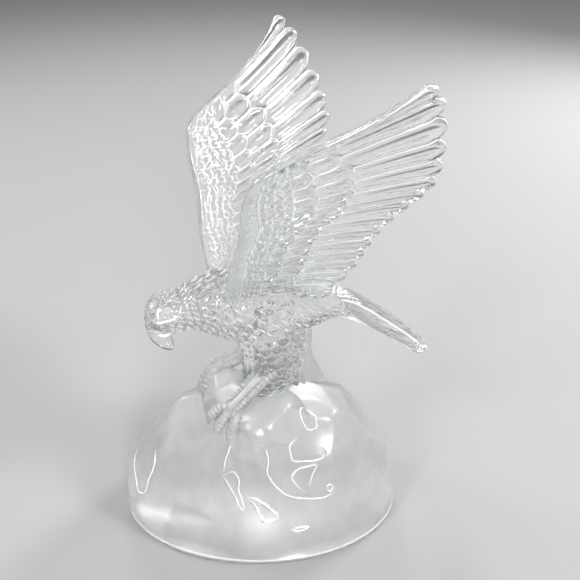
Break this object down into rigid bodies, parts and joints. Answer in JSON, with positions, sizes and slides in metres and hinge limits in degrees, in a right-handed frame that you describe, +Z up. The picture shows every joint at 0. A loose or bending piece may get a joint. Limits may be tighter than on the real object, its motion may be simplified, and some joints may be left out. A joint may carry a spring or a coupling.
{
  "type": "glass eagle figurine",
  "caption": "Solid crystal figurine of an eagle alighting with raised wings on a frosted rock with a flat underside.",
  "frame": {"origin": "centre of the rock's flat underside", "axes": "+Z up; the eagle faces -Y, its left wing is at +X and its tail at +Y"},
  "size_m": [0.122, 0.1698, 0.2455],
  "materials": {
    "crystal": "clear polished glass on the bird, satin frosted glass on the rock"
  },
  "bodies": {
    "root": {"eagle_figurine": "crystal"}
  },
  "joints": []
}
